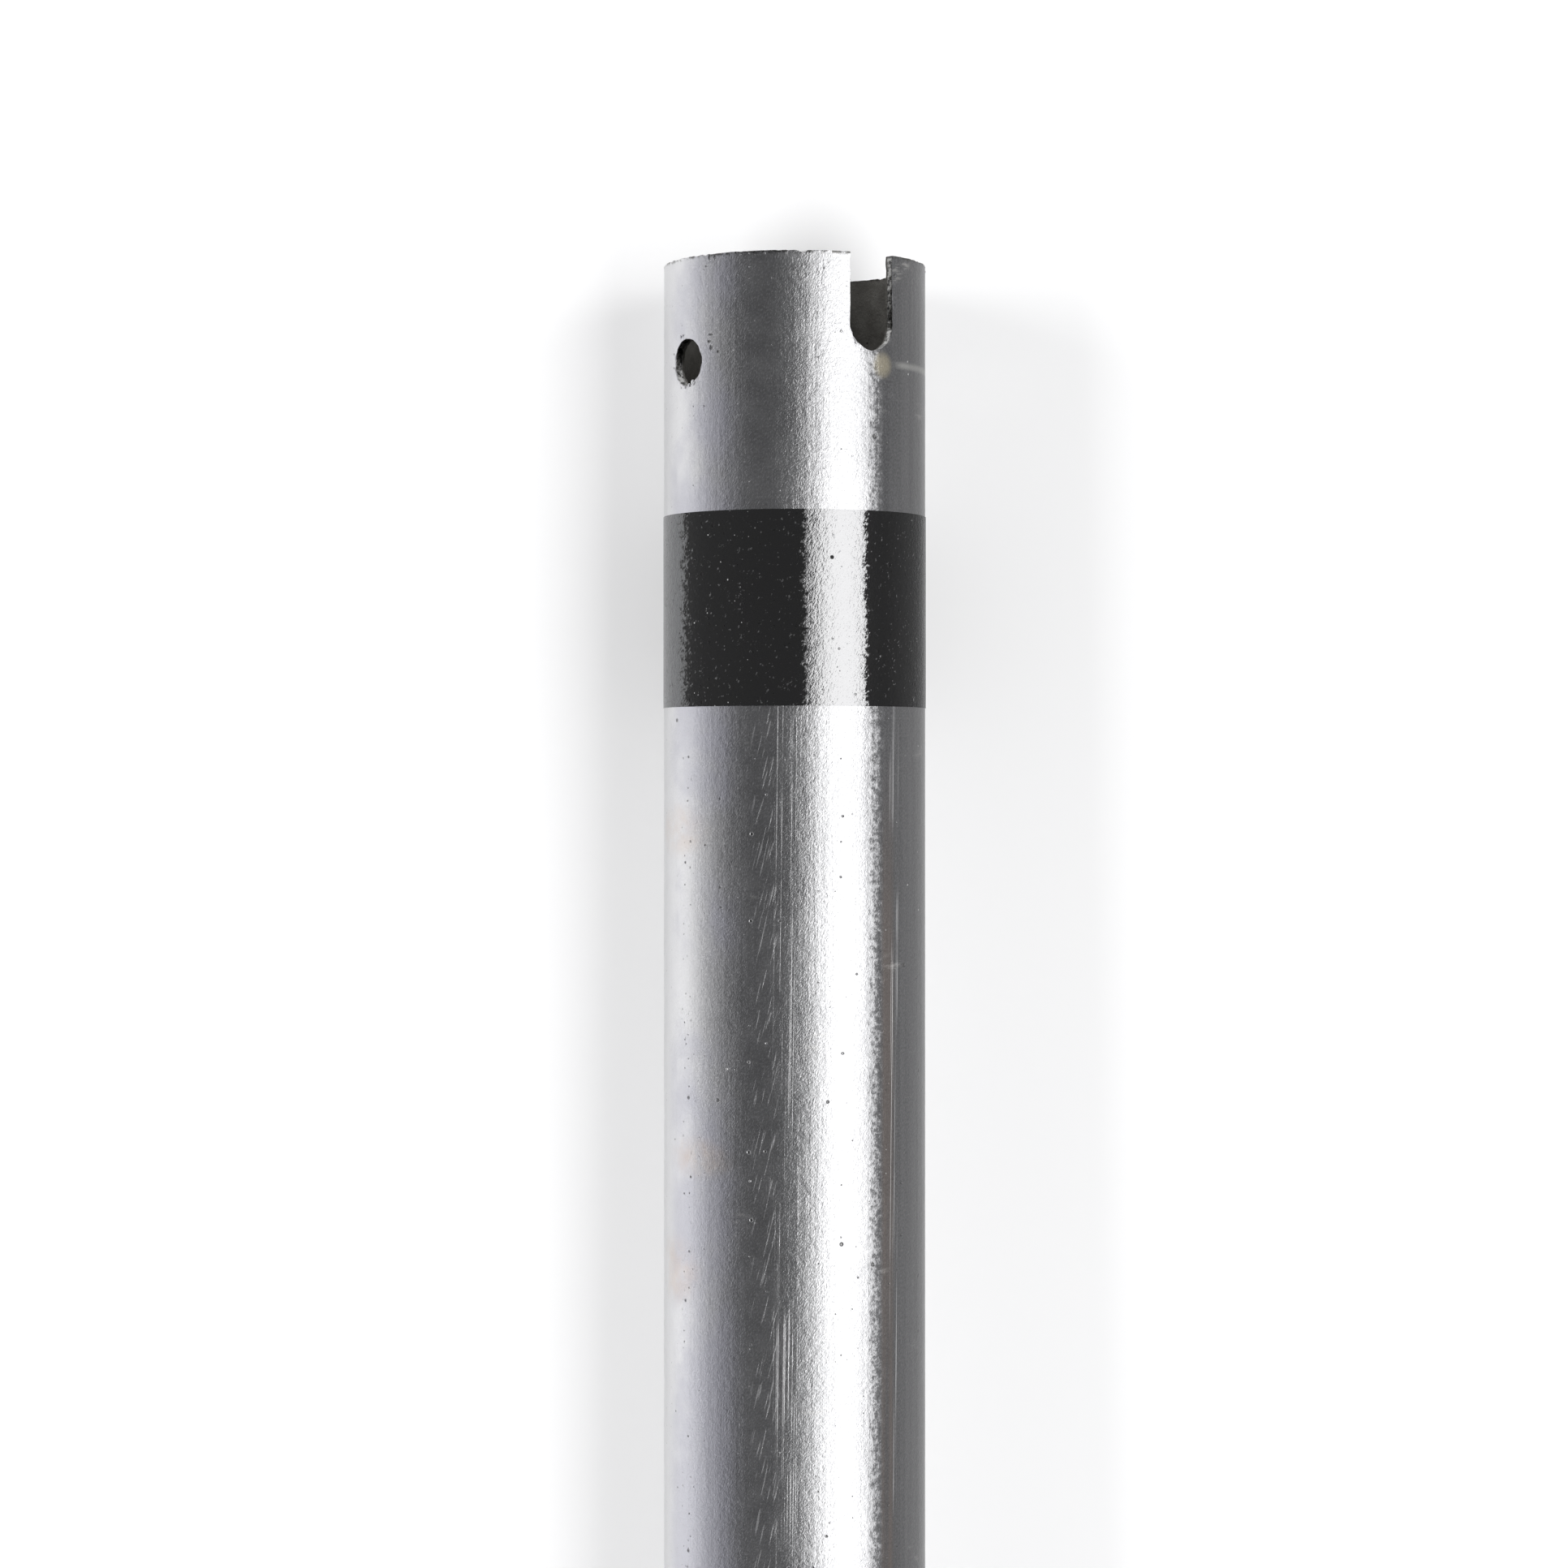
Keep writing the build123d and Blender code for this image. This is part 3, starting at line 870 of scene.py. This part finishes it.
class GROUNDSCREW_OT_stage(bpy.types.Operator):
    """Sets the pale floor, the soft lamps, the sky and the camera"""

    bl_idname = "ground_screw.stage"
    bl_label = "Stage"

    # each lamp's degrees off the screw's top, its distance and its size
    SOFTBOX = (42.0, 1.2, (1.08, 1.9))
    LOW_LAMP = (-58.0, 1.3, (0.8, 1.9))
    # the camera's place from the head: down the axis, up from the floor, and aside
    CAMERA_DOWN, CAMERA_UP, CAMERA_ASIDE = 0.1506, 1.126, 0.0031

    def execute(self, context):
        finish = context.scene.ground_screw_finish
        bpy.ops.mesh.primitive_plane_add(size=30.0, location=(0, 0, 0))
        floor = take(bpy.context.object, "studio_floor")
        bench = Bench("studio_floor_paper")
        floor.data.materials.append(bench.finish(Base_Color=(*finish.floor, 1.0), Roughness=0.9))
        middle = HEAD - AXIS * 0.5
        area_lamp("softbox", finish.softbox_watts, middle, *self.SOFTBOX)
        area_lamp("low_lamp", finish.low_watts, middle, *self.LOW_LAMP, mirrored=False)
        self.sky(context)
        self.camera(context)
        return {"FINISHED"}

    def sky(self, context):
        """Pale near the horizon and grey above."""
        world = bpy.data.worlds.new("studio_sky")
        context.scene.world = world
        world.use_nodes = True
        tree = world.node_tree
        tree.nodes.clear()
        place = tree.nodes.new("ShaderNodeTexCoord")
        split = tree.nodes.new("ShaderNodeSeparateXYZ")
        ramp = tree.nodes.new("ShaderNodeValToRGB")
        ramp.color_ramp.interpolation = "EASE"
        ramp.color_ramp.elements[0].position = 0.30
        ramp.color_ramp.elements[0].color = (0.82, 0.82, 0.84, 1)
        ramp.color_ramp.elements[1].position = 0.58
        ramp.color_ramp.elements[1].color = (0.16, 0.16, 0.165, 1)
        glow = tree.nodes.new("ShaderNodeBackground")
        out = tree.nodes.new("ShaderNodeOutputWorld")
        tree.links.new(place.outputs["Generated"], split.inputs[0])
        tree.links.new(split.outputs["Z"], ramp.inputs[0])
        tree.links.new(ramp.outputs[0], glow.inputs[0])
        tree.links.new(glow.outputs[0], out.inputs[0])

    def camera(self, context):
        """Looks straight down on the head, with the screw's axis upright in the picture."""
        bpy.ops.object.camera_add()
        camera = bpy.context.object
        camera.data.sensor_width = 36.0
        camera.data.lens = 88.6
        facing = Matrix((SIDE, AXIS, -FLOORWARD)).transposed().to_4x4()
        facing.translation = (
            HEAD - AXIS * self.CAMERA_DOWN - FLOORWARD * self.CAMERA_UP - SIDE * self.CAMERA_ASIDE
        )
        camera.matrix_world = facing
        camera.data.clip_start = 0.05
        camera.data.clip_end = 100.0
        context.scene.camera = camera


class GROUNDSCREW_PT_panel(bpy.types.Panel):
    """Lists the pieces and their settings."""

    bl_idname = "GROUNDSCREW_PT_panel"
    bl_label = "Ground screw"
    bl_space_type = "VIEW_3D"
    bl_region_type = "UI"
    bl_category = "Ground screw"

    def draw(self, context):
        for operator in STEPS:
            self.layout.operator(operator.bl_idname)
        for settings in (context.scene.ground_screw_shape, context.scene.ground_screw_finish):
            for name in settings.__annotations__:
                self.layout.prop(settings, name)


SETTINGS = (GroundScrewShape, GroundScrewFinish)
STEPS = (
    GROUNDSCREW_OT_tube,
    GROUNDSCREW_OT_beads,
    GROUNDSCREW_OT_blade,
    GROUNDSCREW_OT_label,
    GROUNDSCREW_OT_stage,
)


def register():
    for kind in (*SETTINGS, *STEPS, GROUNDSCREW_PT_panel):
        bpy.utils.register_class(kind)
    bpy.types.Scene.ground_screw_shape = bpy.props.PointerProperty(type=GroundScrewShape)
    bpy.types.Scene.ground_screw_finish = bpy.props.PointerProperty(type=GroundScrewFinish)


def unregister():
    del bpy.types.Scene.ground_screw_finish
    del bpy.types.Scene.ground_screw_shape
    for kind in reversed((*SETTINGS, *STEPS, GROUNDSCREW_PT_panel)):
        bpy.utils.unregister_class(kind)


def main():
    register()
    bpy.ops.ground_screw.tube()
    bpy.ops.ground_screw.beads()
    bpy.ops.ground_screw.blade()
    bpy.ops.ground_screw.label()
    bpy.ops.ground_screw.stage()
    bpy.context.view_layer.update()
    bpy.context.scene.view_settings.view_transform = "Standard"


if __name__ == "__main__":
    main()
